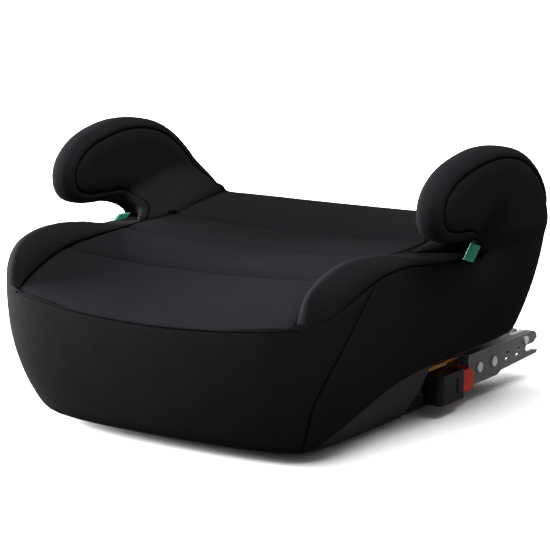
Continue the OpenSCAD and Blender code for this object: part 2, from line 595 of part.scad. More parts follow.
base_shell();
base_tray();
tray_screws();
rubber_feet();
cover_elastics();
seat_foam();
side_foam(-1);  // side_foam_left
side_foam(1);  // side_foam_right
seat_cover();
bolster(-1);  // bolster_left
bolster(1);  // bolster_right
front_panel();
side_panel(-1);  // side_panel_left
side_panel(1);  // side_panel_right
rear_panel();
arm_core(-1);  // arm_core_left
arm_core(1);  // arm_core_right
arm_screws(-1);  // arm_screws_left
arm_screws(1);  // arm_screws_right
arm_pad(-1);  // arm_pad_left
arm_pad(1);  // arm_pad_right
belt_guide(-1);  // belt_guide_left
belt_guide(1);  // belt_guide_right
cross_tube();
rack_plate();
bracket(-1);  // bracket_left
bracket(1);  // bracket_right
bracket_rivets(-1);  // bracket_rivets_left
bracket_rivets(1);  // bracket_rivets_right
indicator_sleeve(-1);  // indicator_sleeve_left
indicator_sleeve(1);  // indicator_sleeve_right
guide_rail(-1);  // guide_rail_left
guide_rail(1);  // guide_rail_right
release_cap(-1);  // release_cap_left
release_cap(1);  // release_cap_right
release_rod(-1);  // release_rod_left
release_rod(1);  // release_rod_right
hook(-1);  // hook_left
hook(1);  // hook_right
hook_pin(-1);  // hook_pin_left
hook_pin(1);  // hook_pin_right
hook_spring(-1);  // hook_spring_left
hook_spring(1);  // hook_spring_right
adjuster_lever();
adjuster_pin();
adjuster_spring();
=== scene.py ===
import json
import math
import bpy
import numpy as np
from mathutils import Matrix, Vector, kdtree


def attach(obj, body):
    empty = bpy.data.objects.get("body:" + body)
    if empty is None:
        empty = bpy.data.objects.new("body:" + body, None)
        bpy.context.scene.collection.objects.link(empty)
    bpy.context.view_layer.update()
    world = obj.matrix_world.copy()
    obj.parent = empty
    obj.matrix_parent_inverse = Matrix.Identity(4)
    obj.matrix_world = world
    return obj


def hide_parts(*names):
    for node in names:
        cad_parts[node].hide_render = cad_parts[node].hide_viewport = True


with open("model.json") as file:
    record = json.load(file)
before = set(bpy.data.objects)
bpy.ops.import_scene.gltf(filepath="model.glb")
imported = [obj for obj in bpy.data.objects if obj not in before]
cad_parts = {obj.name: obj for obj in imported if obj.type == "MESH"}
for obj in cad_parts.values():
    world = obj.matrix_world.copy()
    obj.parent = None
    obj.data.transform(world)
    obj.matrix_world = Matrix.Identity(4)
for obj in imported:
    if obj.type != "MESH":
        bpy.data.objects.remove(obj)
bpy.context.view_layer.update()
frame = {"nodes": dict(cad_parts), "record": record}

# ---- sizes, in millimetres, as in the CAD source ----
# padded body: rear edge, seat height, half widths at the front, rear and foot, and bulge of the front
REAR_Y = 177.5
SEAT_H = 147
FRONT_W = 171
REAR_W = 205
FOOT_W = 134
BULGE = 12
SHOULDER_Z = 180
ROUND_FRONT = 10
ROUND_REAR = 7
# seams: beside the seat, across the front, the sewn channels, and down the rear corner
SEAM_X = 137
SEAT_FRONT_Y = -176.0
ROLL_Y = -86
CHANNELS = [-99, -20, 52]
REAR_SEAM_Y = 165.5
# belt slot and arm
SLOT_Y = 42
SPLIT_Y = 52
SLOT_Z = 146
ARM_IN_X = 172
SHOULDER = 1.5
# sewing: depth and width of the stitched line, then of the dip beside it, and how far an edge is rolled in
GROOVE = (1.0, 1.1, 1.1, 7.0)
SOFT_GROOVE = (0.5, 0.8, 0.5, 7.0)
ROLL = 5.0
# painted shade of a stitched seam, of a sewn channel and of an edge that is turned in: the colour is
# darkened where these grooves lie in shade
PAINTED_SEAM_SHADE = 0.85
PAINTED_FOLD_SHADE = 0.5
PAINTED_EDGE_SHADE = 0.8
TIP_RADIUS = 14


def mix(a, b, t):
    return a + (b - a) * t


def clamp01(t):
    return np.clip(t, 0.0, 1.0)


def smooth(t):
    c = clamp01(t)
    return c * c * (3 - 2 * c)


# ---- outline of the padded body ----
def half_w(y, z):
    v = smooth((y + 60) / 170)
    return mix(FOOT_W, mix(FRONT_W, REAR_W, v), 1 - (1 - clamp01(z / SHOULDER_Z)) ** mix(4, 1.9, v))


def front_y(z):
    return BULGE - REAR_Y + 22 * (1 - clamp01(z / 110)) ** 2.8


def outline_pt(t, z, inset=0.0):
    t, z = np.broadcast_arrays(np.asarray(t, float), np.asarray(z, float))
    y0, y1 = front_y(z) + inset, REAR_Y - inset
    c, s = np.cos(t), np.sin(t)
    p = np.where(s < 0, ROUND_FRONT, ROUND_REAR)
    k = (np.abs(c) ** p + np.abs(s) ** p) ** (-1 / p)
    c, s = k * c, k * s
    y = (y0 + y1) / 2 + s * (y1 - y0) / 2
    x = c * (half_w(y, z) - inset)
    return np.stack([x, np.where(s < 0, y - BULGE * (1 - c * c) * s ** 4, y), z], -1)


def along(y, z):
    m = (front_y(z) + REAR_Y) / 2
    return np.clip((y - m) / (REAR_Y - m), -1, 1)


def round_at(v):
    p = np.where(v < 0, ROUND_FRONT, ROUND_REAR)
    return np.maximum(0, 1 - np.abs(v) ** p) ** (1 / p)


def angle_at(y, z):
    return np.arctan2(along(y, z), round_at(along(y, z)))


def side_x(y, z):
    return half_w(y, z) * round_at(along(y, z))


def end_y(x, z, rear):
    c = np.minimum(1, np.abs(x) / half_w(REAR_Y if rear else -REAR_Y, z))
    s = round_at(c if rear else -c)
    m = (front_y(z) + REAR_Y) / 2
    if rear:
        return m + s * (REAR_Y - m)
    return m - s * (REAR_Y - m) - BULGE * (1 - c * c) * s ** 4


def seam_z(x):
    """Height of the seam between the seat and the front panel."""
    return 104 + 9 * (np.abs(x) / SEAM_X) ** 2


def channel(y):
    d = np.min([np.abs(y - c) for c in CHANNELS], axis=0)
    return 3.2 * (1 - smooth(d / 11)) + 1.8 * np.exp(-d / 1.2)


def seat_z(x, y, channels=True):
    dish = (5 * (np.abs(x) / 128) ** 2 - 4) * (1 - 0.8 * smooth((y - 40) / 130))
    u = clamp01((ROLL_Y - y) / (ROLL_Y - end_y(x, 108.0, False)))
    dome = 1.6 * np.exp(-((y + 45) / 50) ** 2) - 2.2 * smooth((y - 90) / 80)
    fade = 1 - 0.75 * smooth((np.abs(x) - inner_x(y) + 20) / 18)
    top = SEAT_H + 0.055 * y + dish + dome - (channel(y) * fade if channels else 0)
    return mix(top, seam_z(x), u ** 2.1)


def inner_x(y):
    """The seam beside the seat."""
    return (133 + (SEAM_X - 133) * clamp01((-60 - y) / 95) ** 1.6 + 3 * np.exp(-((y - 2) / 28) ** 2)
            + 32 * smooth((y - 35) / 185))


def outer_z(y):
    """The seam along the top of the side panel."""
    return (113 + 34 * (1 - (1 - clamp01((y + 164) / 110)) ** 2.2) - 3 * smooth((y + 45) / 45)
            + 3.5 * smooth((y - 20) / 22))


# crest of a bolster, from its tip at the front to the belt slot
CREST_Y = [-161, -160, -158, -155, -150, -145, -135, -125, -115,
           -105, -85, -75, -55, -45, -35, -25, 0, 46]
CREST_Z = [113, 122, 131, 138.5, 144, 147.5, 153, 156, 158,
           159, 159, 158.2, 156, 154, 152, 150.5, 147, 144.5]
CREST_X = [141, 143, 146, 149, 151.5, 153, 155, 157, 158.5,
           159.5, 160, 159.5, 158, 157, 156, 156, 158, 160]


def skirt_z(y):
    """Lower edge of the side panel."""
    return mix(6, 59, 1 - (1 - clamp01((y + 138) / 190)) ** 2.2)


def corner_seam_y(z):
    """The seam between the front and side panels."""
    return front_y(z) + 9 + 57 * clamp01((z - 40) / 98) ** 1.9


def seat_edge_z(y):
    return seat_z(inner_x(y), y, False)


def tuck(y, z):
    """Fabric pulled in at the inner corner of the belt slot."""
    return 16 * np.exp(-(np.hypot(y - 40, z - 160) / 20) ** 2)


def arm_out_x(y, z):
    full = REAR_W * round_at(along(y, float(SHOULDER_Z))) + 1 - 5 * smooth((30 - y) / 80)
    return mix(side_x(y, z), full, smooth((z - SLOT_Z) / 20)) - tuck(y, z)


def arm_in_x(y, z):
    lift = smooth((z - seat_edge_z(y) + 2) / mix(22, 34, smooth((y - 40) / 60)))
    foot = mix(141.0, inner_x(y), smooth((y - 44) / 26))
    return np.minimum(arm_out_x(y, z) - 14, mix(foot, ARM_IN_X, lift))


def flare(p):
    """The foot of an arm sweeps forward along the edge of the seat."""
    x, y, z = p[..., 0], p[..., 1], p[..., 2]
    shift = 34 * smooth((170 - x) / 30) * smooth((166 - z) / 18) * (1 - smooth((y - 44) / 26))
    return np.stack([x, y - shift, z], -1)


# ---- arm profile: the rim over the top, round the nose and back to the foot of the belt slot ----
RIM_TOP = [(171, 149.5), (164.5, 160), (154, 176.5), (139, 194), (121, 210), (102, 222), (85, 229),
           (70, 232.5), (58, 234.3), (44, 235), (28, 234.5), (5, 231), (-18, 224.5), (-34, 215.5),
           (-43.5, 206), (-48, 196)]
RIM_LOW = [(-48.5, 188), (-46.8, 180), (-42, 173), (-34, 168), (-20, 165), (2, 164), (20, 164),
           (31, 162), (38.5, 156), (SLOT_Y, SLOT_Z)]


SPLINE_STEPS = 8


def spline(keys):
    """A smooth curve through the keys, with SPLINE_STEPS points from each key to the next."""
    k = np.array([keys[0]] + list(keys) + [keys[-1]], float)
    out = []
    for i in range(1, len(k) - 2):
        for t in np.arange(SPLINE_STEPS) / SPLINE_STEPS:
            a, b, c, d = k[i - 1], k[i], k[i + 1], k[i + 2]
            out.append(0.5 * (2 * b + (c - a) * t + (2 * a - 5 * b + 4 * c - d) * t * t
                              + (3 * b - a - 3 * c + d) * t ** 3))
    return np.array(out + [k[-2]])


def lengths(path):
    return np.concatenate([[0], np.cumsum(np.linalg.norm(np.diff(path, axis=0), axis=1))])


def resample(path, params):
    s = lengths(path)
    at = np.asarray(params) * s[-1]
    return np.stack([np.interp(at, s, column) for column in path.T], -1)


def spaced(total, near=0.7, far=4.5, grow=1.32, low=True, high=True):
    """Positions in 0..1, close together at the ends that carry a seam."""
    steps = []
    step, run = near, 0.0
    while step < far and run < total * 0.45:
        steps.append(step)
        run += step
        step *= grow
    ends = run * (int(low) + int(high))
    middle = max(1, round((total - ends) / far))
    row = (steps if low else []) + [(total - ends) / middle] * middle + (steps[::-1] if high else [])
    pos = np.concatenate([[0], np.cumsum(row)])
    return pos / pos[-1]


def outward(path, *spacing):
    """Unit normals of an arm's profile, away from the arm; the profile runs from the rear over the top."""
    along_path = np.gradient(path, *spacing, axis=0)
    n = np.stack([along_path[:, 1], -along_path[:, 0]], -1)
    return n / np.linalg.norm(n, axis=1, keepdims=True)


RIM = spline(RIM_TOP + RIM_LOW)
RIM_S = lengths(RIM)
RIM_N = outward(RIM, RIM_S)
# foremost point of the rim, and the distance along it at which it turns down to the foot of the slot
NOSE = SPLINE_STEPS * len(RIM_TOP) - SPLINE_STEPS // 2
CORNER_S = RIM_S[NOSE] + 62


def seam_inset(run, outer):
    """How far a seam lies in from the rim of the arm."""
    inset = 8.5 * smooth((run + 7) / 60)
    return inset - 8.0 * smooth((run - CORNER_S) / 28) if outer else inset


def seam_rim(outer):
    return RIM - RIM_N * seam_inset(RIM_S, outer)[:, None]


# ---- sheets of fabric ----
def quads(ids):
    corners = [ids[:-1, :-1], ids[:-1, 1:], ids[1:, 1:], ids[1:, :-1]]
    return np.stack(corners, -1).reshape(-1, 4).tolist()


class Sheet:
    """Grids welded where they meet, pulled in along their seams and rolled inwards at every edge."""

    def __init__(self):
        self.v, self.f = [], []

    def add(self, grid):
        m, n = grid.shape[:2]
        ids = len(self.v) + np.arange(m * n).reshape(m, n)
        self.v.extend(grid.reshape(-1, 3))
        self.f.extend(quads(ids))
        return self

    def weld(self, near=0.012):
        tree = kdtree.KDTree(len(self.v))
        for i, p in enumerate(self.v):
            tree.insert(p, i)
        tree.balance()
        to = list(range(len(self.v)))
        for i, p in enumerate(self.v):
            if to[i] == i:
                for _, j, _ in tree.find_range(p, near):
                    if j > i and to[j] == j:
                        to[j] = i
        new = {old: k for k, old in enumerate(sorted(set(to)))}
        self.v = [self.v[i] for i in new]
        faces = []
        for f in self.f:
            q = [new[to[i]] for i in f]
            q = [a for k, a in enumerate(q) if a != q[k - 1]]
            if len(set(q)) > 2:
                faces.append(q)
        self.f = faces

    def normals(self, v):
        n = np.zeros_like(v)
        for f in self.f:
            a = np.cross(v[f[1]] - v[f[0]], v[f[2]] - v[f[0]])
            if len(f) == 4:
                a = a + np.cross(v[f[2]] - v[f[0]], v[f[3]] - v[f[0]])
            for i in f:
                n[i] += a
        return n / np.maximum(np.linalg.norm(n, axis=1, keepdims=True), 1e-9)

    def open_edges(self):
        edges = {}
        for f in self.f:
            for a, b in zip(f, f[1:] + f[:1]):
                if (b, a) in edges:
                    del edges[(b, a)]
                else:
                    edges[(a, b)] = True
        return list(edges)

    def finish(self, seams, hems=(), groove=GROOVE, mirror=False, out=None, folds=(), tips=()):
        """Points, faces and painted shade of the sewn sheet.

        out(v) is roughly the outward direction, and decides which way the faces turn. A hem is turned in
        without a seam, a fold is a channel sewn across the sheet, and at a tip the rolled edge runs out.
        """
        self.weld()
        v = np.array(self.v)
        n = self.normals(v)
        away = v - [0, 0, 60] if out is None else out(v)
        if (n * away).sum() < 0:
            self.f = [f[::-1] for f in self.f]
            n = -n
        to_seam = distance(v, seams)
        depth = groove[0] * np.exp(-to_seam / groove[1]) + groove[2] * np.exp(-to_seam / groove[3])
        # painted shade: the colour darkens close to each seam, where the groove lies in shade
        dark = PAINTED_SEAM_SHADE * np.exp(-(to_seam / 0.9) ** 2)
        # painted shade along the sewn channels
        if folds:
            dark = np.maximum(dark, PAINTED_FOLD_SHADE * np.exp(-(distance(v, folds) / 1.3) ** 2))
        to_hem = distance(v, hems)
        depth = np.maximum(depth, 1.6 * np.exp(-to_hem / 1.8))
        reach = np.ones(len(v))
        for tip in tips:
            reach *= smooth(np.linalg.norm(v - tip, axis=1) / TIP_RADIUS)

        v = v - n * depth[:, None]
        n = self.normals(v)
        edges = self.open_edges()
        beyond = np.zeros_like(v)
        for a, b in edges:
            side = np.cross(v[b] - v[a], n[a] + n[b])
            beyond[a] += side
            beyond[b] += side
        beyond /= np.maximum(np.linalg.norm(beyond, axis=1, keepdims=True), 1e-9)
        beyond[to_hem < 2] = 0
        rim, rolled = {}, []
        for a in sorted({i for e in edges for i in e}):
            rim[a] = len(v) + len(rolled)
            rolled.append(v[a] - n[a] * ROLL * mix(0.15, 1, reach[a]) + beyond[a] * ROLL * 0.5 * reach[a])
        v = np.vstack([v, rolled])
        # the rolled edges, turned into the seams, take painted shade
        dark = np.concatenate([dark, np.full(len(rolled), PAINTED_EDGE_SHADE)])
        faces = self.f + [[b, a, rim[a], rim[b]] for a, b in edges]
        if mirror:
            v = v * [-1, 1, 1]
            faces = [f[::-1] for f in faces]
        return v, faces, dark


def distance(points, lines):
    """Distance of each point to the nearest of some polylines."""
    best = np.full(len(points), 1e9)
    for line in lines:
        a, b = line[:-1], line[1:]
        ab = b - a
        size = np.maximum((ab ** 2).sum(1), 1e-12)
        for lo in range(0, len(points), 2000):
            p = points[lo:lo + 2000, None, :]
            t = np.clip(((p - a) * ab).sum(2) / size, 0, 1)
            d = np.linalg.norm(a + ab * t[..., None] - p, axis=2).min(1)
            best[lo:lo + 2000] = np.minimum(best[lo:lo + 2000], d)
    return best


# ---- materials ----
def new_material(name):
    m = bpy.data.materials.new(name)
    m.use_nodes = True
    nt = m.node_tree
    bsdf = nt.nodes["Principled BSDF"]
    tc = nt.nodes.new("ShaderNodeTexCoord")
    return m, nt, bsdf, tc


def node(nt, kind, **settings):
    n = nt.nodes.new(kind)
    for k, val in settings.items():
        if k in n.inputs:
            n.inputs[k].default_value = val
        else:
            setattr(n, k, val)
    return n


def noise(nt, tc, scale, detail=2.0):
    n = node(nt, "ShaderNodeTexNoise", Scale=scale, Detail=detail)
    nt.links.new(tc.outputs["Object"], n.inputs["Vector"])
    return n


def ramp(nt, source, stops):
    r = nt.nodes.new("ShaderNodeValToRGB")
    els = r.color_ramp.elements
    els[0].position, els[0].color = stops[0][0], (*stops[0][1], 1)
    els[1].position, els[1].color = stops[-1][0], (*stops[-1][1], 1)
    for pos, col in stops[1:-1]:
        e = els.new(pos)
        e.color = (*col, 1)
    nt.links.new(source, r.inputs["Fac"])
    return r


def fabric(name, dark, light, sheen):
    m, nt, bsdf, tc = new_material(name)
    big = noise(nt, tc, 9.0, 3.0)
    fine = noise(nt, tc, 1400.0, 1.0)
    tone = ramp(nt, big.outputs["Fac"], [(0.3, dark), (0.7, light)])
    fleck = ramp(nt, fine.outputs["Fac"], [(0.35, (0.72, 0.72, 0.72)), (0.65, (1.25, 1.25, 1.25))])
    mul = node(nt, "ShaderNodeMixRGB", blend_type="MULTIPLY")
    mul.inputs["Fac"].default_value = 0.8
    nt.links.new(tone.outputs["Color"], mul.inputs["Color1"])
    nt.links.new(fleck.outputs["Color"], mul.inputs["Color2"])
    # painted shade: the 'seam' attribute mixes the knit towards near black at seams, channels and turned-in
    # edges
    seam = node(nt, "ShaderNodeAttribute", attribute_name="seam")
    shade = node(nt, "ShaderNodeMixRGB")
    shade.inputs["Color2"].default_value = (0.0008, 0.0008, 0.001, 1)
    nt.links.new(seam.outputs["Fac"], shade.inputs["Fac"])
    nt.links.new(mul.outputs["Color"], shade.inputs["Color1"])
    nt.links.new(shade.outputs["Color"], bsdf.inputs["Base Color"])
    heights = []
    for axis in ("X", "Y", "Z"):
        w = node(nt, "ShaderNodeTexWave", Scale=260.0, Distortion=0.6)
        w.bands_direction = axis
        nt.links.new(tc.outputs["Object"], w.inputs["Vector"])
        heights.append(w.outputs["Fac"])
    a = node(nt, "ShaderNodeMath", operation="ADD")
    nt.links.new(heights[0], a.inputs[0])
    nt.links.new(heights[1], a.inputs[1])
    b = node(nt, "ShaderNodeMath", operation="ADD")
    nt.links.new(a.outputs[0], b.inputs[0])
    nt.links.new(heights[2], b.inputs[1])
    bump = node(nt, "ShaderNodeBump", Strength=0.12, Distance=0.0006)
    nt.links.new(b.outputs[0], bump.inputs["Height"])
    soft = noise(nt, tc, 14.0, 2.0)
    crease = node(nt, "ShaderNodeBump", Strength=0.25, Distance=0.004)
    nt.links.new(soft.outputs["Fac"], crease.inputs["Height"])
    nt.links.new(crease.outputs["Normal"], bump.inputs["Normal"])
    nt.links.new(bump.outputs["Normal"], bsdf.inputs["Normal"])
    bsdf.inputs["Roughness"].default_value = 0.85
    bsdf.inputs["Specular IOR Level"].default_value = 0.015
    bsdf.inputs["Sheen Weight"].default_value = sheen
    bsdf.inputs["Sheen Roughness"].default_value = 0.45
    bsdf.inputs["Sheen Tint"].default_value = (0.85, 0.8, 0.95, 1)
    return m


def hard(name, color, rough, metal=0.0, grain=0.0, scale=300.0, edge=None, bevel=0.0006, spec=0.5):
    m, nt, bsdf, tc = new_material(name)
    spots = noise(nt, tc, scale, 3.0)
    lo = tuple(c * 0.82 for c in color)
    hi = tuple(min(1, c * 1.18) for c in color)
    tone = ramp(nt, spots.outputs["Fac"], [(0.35, lo), (0.65, hi)])
    rr = ramp(nt, spots.outputs["Fac"], [(0.3, (rough * 0.85,) * 3), (0.7, (min(1, rough * 1.15),) * 3)])
    nt.links.new(rr.outputs["Color"], bsdf.inputs["Roughness"])
    bsdf.inputs["Metallic"].default_value = metal
    bsdf.inputs["Specular IOR Level"].default_value = spec
    bev = node(nt, "ShaderNodeBevel", Radius=bevel)
    bev.samples = 4
    if grain:
        bump = node(nt, "ShaderNodeBump", Strength=grain, Distance=0.0003)
        g = noise(nt, tc, 900.0, 2.0)
        nt.links.new(g.outputs["Fac"], bump.inputs["Height"])
        nt.links.new(bev.outputs["Normal"], bump.inputs["Normal"])
        nt.links.new(bump.outputs["Normal"], bsdf.inputs["Normal"])
    else:
        nt.links.new(bev.outputs["Normal"], bsdf.inputs["Normal"])
    # painted highlight: edges found by the bevel are lightened towards the edge colour
    if edge:
        geo = nt.nodes.new("ShaderNodeNewGeometry")
        wide = node(nt, "ShaderNodeBevel", Radius=bevel * 1.6)
        dot = node(nt, "ShaderNodeVectorMath", operation="DOT_PRODUCT")
        nt.links.new(wide.outputs["Normal"], dot.inputs[0])
        nt.links.new(geo.outputs["Normal"], dot.inputs[1])
        painted_edge_highlight = ramp(nt, dot.outputs["Value"], [(0.9, (1, 1, 1)), (0.995, (0, 0, 0))])
        mixer = node(nt, "ShaderNodeMixRGB")
        nt.links.new(painted_edge_highlight.outputs["Color"], mixer.inputs["Fac"])
        nt.links.new(tone.outputs["Color"], mixer.inputs["Color1"])
        mixer.inputs["Color2"].default_value = (*edge, 1)
        nt.links.new(mixer.outputs["Color"], bsdf.inputs["Base Color"])
    else:
        nt.links.new(tone.outputs["Color"], bsdf.inputs["Base Color"])
    return m


MAT = {
    "cover_fabric": fabric("knit", (0.0098, 0.0091, 0.0107), (0.0116, 0.0108, 0.0126), 0.0),
    "foam": hard("foam", (0.72, 0.7, 0.66), 0.95, grain=0.4, bevel=0.001),
    "base_plastic": hard("base plastic", (0.03, 0.03, 0.031), 0.6, grain=0.25, spec=0.2),
    "foot_rubber": hard("rubber", (0.02, 0.02, 0.02), 0.85, grain=0.2, spec=0.2),
    "elastic": fabric("elastic", (0.015, 0.015, 0.015), (0.02, 0.02, 0.02), 0.1),
    # the lighter green edges of the tab are a painted highlight
    "guide_tab": hard("guide tab", (0.025, 0.27, 0.16), 0.5, edge=(0.45, 0.85, 0.68), bevel=0.0007,
                      spec=0.15),
    # the light grey edges of the bracket are a painted highlight
    "bracket_steel": hard("bracket steel", (0.13, 0.13, 0.134), 0.45, metal=0.3, edge=(0.6, 0.6, 0.6),
                          scale=120.0, bevel=0.0005),
    "zinc_steel": hard("zinc steel", (0.78, 0.78, 0.78), 0.35, metal=0.6, scale=80.0, bevel=0.0004),
    "red_plastic": hard("red plastic", (0.7, 0.03, 0.012), 0.4, bevel=0.0008, spec=0.2),
    "black_plastic": hard("black plastic", (0.011, 0.012, 0.012), 0.38, grain=0.08, bevel=0.0012,
                          spec=0.14),
    "orange_plastic": hard("orange plastic", (0.85, 0.36, 0.09), 0.4, bevel=0.0004, spec=0.3),
}


def piece(name, built, replaced, slot, smooth_shade=True):
    """A visual piece on the base, in place of one CAD node, from points, faces and painted seam shade."""
    v, faces = built[:2]
    mesh = bpy.data.meshes.new(name)
    mesh.from_pydata([tuple(p) for p in np.asarray(v) * 0.001], [], [list(map(int, f)) for f in faces])
    mesh.update()
    for p in mesh.polygons:
        p.use_smooth = smooth_shade
    # the 'seam' attribute holds the painted shade of seams, channels and turned-in edges
    if len(built) > 2:
        seam = mesh.attributes.new("seam", "FLOAT", "POINT")
        seam.data.foreach_set("value", built[2])
    mesh.materials.append(MAT[slot])
    mesh.validate()
    o = bpy.data.objects.new(name, mesh)
    bpy.context.scene.collection.objects.link(o)
    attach(o, "base")
    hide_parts(replaced)


# ---- seat cover ----
def seat_grid():
    """Seat cover from the front seam to the rear edge, and the rows of its sewn channels."""
    stops = [SEAT_FRONT_Y] + CHANNELS + [REAR_Y]
    rows = [SEAT_FRONT_Y]
    for a, b in zip(stops[:-1], stops[1:]):
        rows += list(mix(a, b, spaced(b - a, near=0.8, far=5))[1:])
    rows = np.array(rows)
    side, y = np.meshgrid(mix(-1.0, 1.0, spaced(270, near=0.8, far=6)), rows)
    # rows between these two run straight across; the others bend towards the front seam and the rear edge
    flat_front, flat_rear = -112.0, 100.0
    nose = end_y(side * SEAM_X, 108.0, False)
    tail = end_y(side * 158.0, 146.0, True)
    to_nose = mix(nose, flat_front, (y - SEAT_FRONT_Y) / (flat_front - SEAT_FRONT_Y))
    to_tail = mix(flat_rear, tail, (y - flat_rear) / (REAR_Y - flat_rear))
    y = np.where(y < flat_front, to_nose, np.where(y > flat_rear, to_tail, y))
    x = side * inner_x(y)
    rear_round, rear_dip = 11, 6.5
    dip = rear_dip * clamp01((y - (tail - rear_round)) / rear_round) ** 2.2
    z = seat_z(x, y) - dip * (1 - side ** 8)
    plump = np.zeros_like(y)
    for a, b in zip([SEAT_FRONT_Y] + CHANNELS, CHANNELS + [REAR_Y + 0.5]):
        inside = (y > a) & (y < b)
        plump = np.where(inside, np.sin(np.pi * clamp01((y - a) / (b - a))) ** 0.7, plump)
    z = z + 1.6 * plump * (1 - side ** 6) * (y > CHANNELS[0])
    grid = np.stack([x, y, z], -1)
    return grid, [grid[np.argmin(np.abs(rows - c))] for c in CHANNELS]


seat, channel_rows = seat_grid()
piece("seat_cover_knit",
      Sheet().add(seat).finish([seat[0], seat[-1], seat[:, 0], seat[:, -1]], groove=SOFT_GROOVE,
                               folds=channel_rows),
      "seat_cover", "cover_fabric")


# ---- bolsters ----
def bolster_edges():
    """The seams on either side of a bolster, which meet in a point at the front."""
    y = mix(end_y(SEAM_X, 112.0, False), SLOT_Y + 4, np.linspace(0, 1, 400))
    inner = np.stack([inner_x(y), y, seat_z(inner_x(y), y, False)], -1)
    t = np.linspace(math.atan2(-1, SEAM_X / FRONT_W), angle_at(SLOT_Y + 4.0, 146.0), 900)
    z = np.full_like(t, 113.0)
    for _ in range(4):
        outer = outline_pt(t, z)
        z = outer_z(outer[:, 1])
    outer[:, 2] = z
    outer = outer[outer[:, 0] >= SEAM_X]
    outer[0] = inner[0]
    outer[:, 0] -= tuck(outer[:, 1], outer[:, 2]) * smooth((outer[:, 1] + 20) / 20)
    return inner, outer


def bolster_grid():
    """Cross-sections between the two seams, each a cubic curve whose middle passes over the crest."""
    inner, outer = bolster_edges()
    run_in, run_out = lengths(inner), lengths(outer)
    rows = run_in[-1] * spaced(run_in[-1], near=0.5, far=4, high=False)
    # beside the tip the two seams are matched by length, further back by y
    tip_run = 60
    level = np.interp(np.interp(tip_run, run_in, inner[:, 1]), outer[:, 1], run_out)
    match = np.interp(np.interp(rows, run_in, inner[:, 1]), outer[:, 1], run_out)
    rows_out = np.where(rows < tip_run, rows * level / tip_run, match)
    start = np.stack([np.interp(rows, run_in, inner[:, k]) for k in range(3)], -1)[:, None]
    end = np.stack([np.interp(rows_out, run_out, outer[:, k]) for k in range(3)], -1)[:, None]
    x0, y0, z0 = start[..., 0], start[..., 1], start[..., 2]
    x3, y3, z3 = end[..., 0], end[..., 1], end[..., 2]
    open_up = clamp01(rows / 9)[:, None]
    crest_x = np.interp(y0, CREST_Y, CREST_X)
    crest_z = np.interp(y0, CREST_Y, CREST_Z)
    x1 = mix((x0 + x3) / 2, x0 + 2, open_up)
    x2 = np.clip((8 * crest_x - x0 - x3 - 3 * (x0 + 2)) / 3, x0 + 1, x3 - 0.5)
    x2 = mix((x0 + x3) / 2, x2, open_up)
    high = mix((z0 + z3) / 2, (8 * crest_z - z0 - z3) / 6, open_up)
    t = spaced(60, near=0.7, far=3)[None, :]
    w = ((1 - t) ** 3, 3 * t * (1 - t) ** 2, 3 * t * t * (1 - t), t ** 3)
    x = w[0] * x0 + w[1] * x1 + w[2] * x2 + w[3] * x3
    z = w[0] * z0 + (w[1] + w[2]) * high + w[3] * z3
    grid = np.stack([x, mix(y0, y3, t), z], -1)
    seams = [grid[:, 0], grid[:, -1], grid[np.argmin(np.abs(y0[:, 0] - 10))]]
    # one more column goes down beside the seat's edge and closes the gap under the seam
    down, back = np.array([0.6, 0, -7.0]), np.array([0, 3.0, -0.5])
    under = grid[:, :1] + down * open_up[..., None] + back * (1 - open_up[..., None])
    return np.concatenate([under, grid], 1), seams, inner[0]


# ---- front panel ----
def join_height():
    """Where the corner seam runs into the side seam."""
    z = 138.0
    for _ in range(6):
        z = outer_z(corner_seam_y(z))
    return z


JOIN_Z = join_height()


def front_grid():
    side, up = np.meshgrid(mix(-1.0, 1.0, spaced(430, near=0.8, far=5)), spaced(118, near=0.8, far=5))
    quarter = math.pi / 2
    top = outline_pt(-quarter + side * (quarter + angle_at(corner_seam_y(JOIN_Z), JOIN_Z)), 114.0)
    top_z = np.where(np.abs(top[..., 0]) < SEAM_X, seam_z(top[..., 0]), outer_z(top[..., 1]))
    z = mix(5.0, top_z, up)
    grid = outline_pt(-quarter + side * (quarter + angle_at(corner_seam_y(z), z)), z)
    grid[..., 1] += 7 * clamp01((16 - z) / 11) ** 2
    return grid


front = front_grid()
piece("front_panel_knit", Sheet().add(front).finish([front[-1], front[:, 0], front[:, -1]], hems=[front[0]]),
      "front_panel", "cover_fabric")

# ---- side covers: the side panel runs up into the outer face of the arm ----
SIDE_COLS = mix(0.0, 1.0, spaced(193, near=0.8, far=4, high=False))
SIDE_ROWS = spaced(95, near=0.8, far=5)
ARM_Y = mix(float(SPLIT_Y), REAR_SEAM_Y, spaced(REAR_SEAM_Y - SPLIT_Y, near=0.8, far=4, low=False))
ARM_ROWS = spaced(80, near=0.8, far=4)


def side_grid():
    corner = corner_seam_y(mix(8, JOIN_Z, SIDE_ROWS))[:, None]
    ahead = mix(corner, float(SPLIT_Y), SIDE_COLS[None, :])
    y = np.concatenate([ahead, np.repeat(ARM_Y[None, 1:], len(SIDE_ROWS), 0)], 1)
    top = np.where(y < SLOT_Y, outer_z(y), float(SLOT_Z))
    z = mix(skirt_z(y), top, SIDE_ROWS[:, None])
    part = (y - corner) / (SPLIT_Y - corner)
    y = np.where(y < SPLIT_Y, mix(corner_seam_y(z), float(SPLIT_Y), part), y)
    p = outline_pt(angle_at(y, z), z)
    p[..., 0] -= tuck(p[..., 1], p[..., 2])
    return p


def arm_point(y, z, outer):
    """Point on a face of the arm, rounded towards its rim."""
    d = distance(np.stack([y, z], -1).reshape(-1, 2), [seam_rim(outer)]).reshape(y.shape)
    drop = SHOULDER * (1 - clamp01(d / 12)) ** 2
    x = arm_out_x(y, z) - drop if outer else arm_in_x(y, z) + drop
    p = np.stack([x, y, z], -1)
    return p if outer else flare(p)


# the upper part of the rim, which stops short of the nose
TOP_ONLY = NOSE - 20


def seam_top_z(y, outer):
    part = seam_rim(outer)[:TOP_ONLY][::-1]
    return np.interp(y, part[:, 0], part[:, 1])


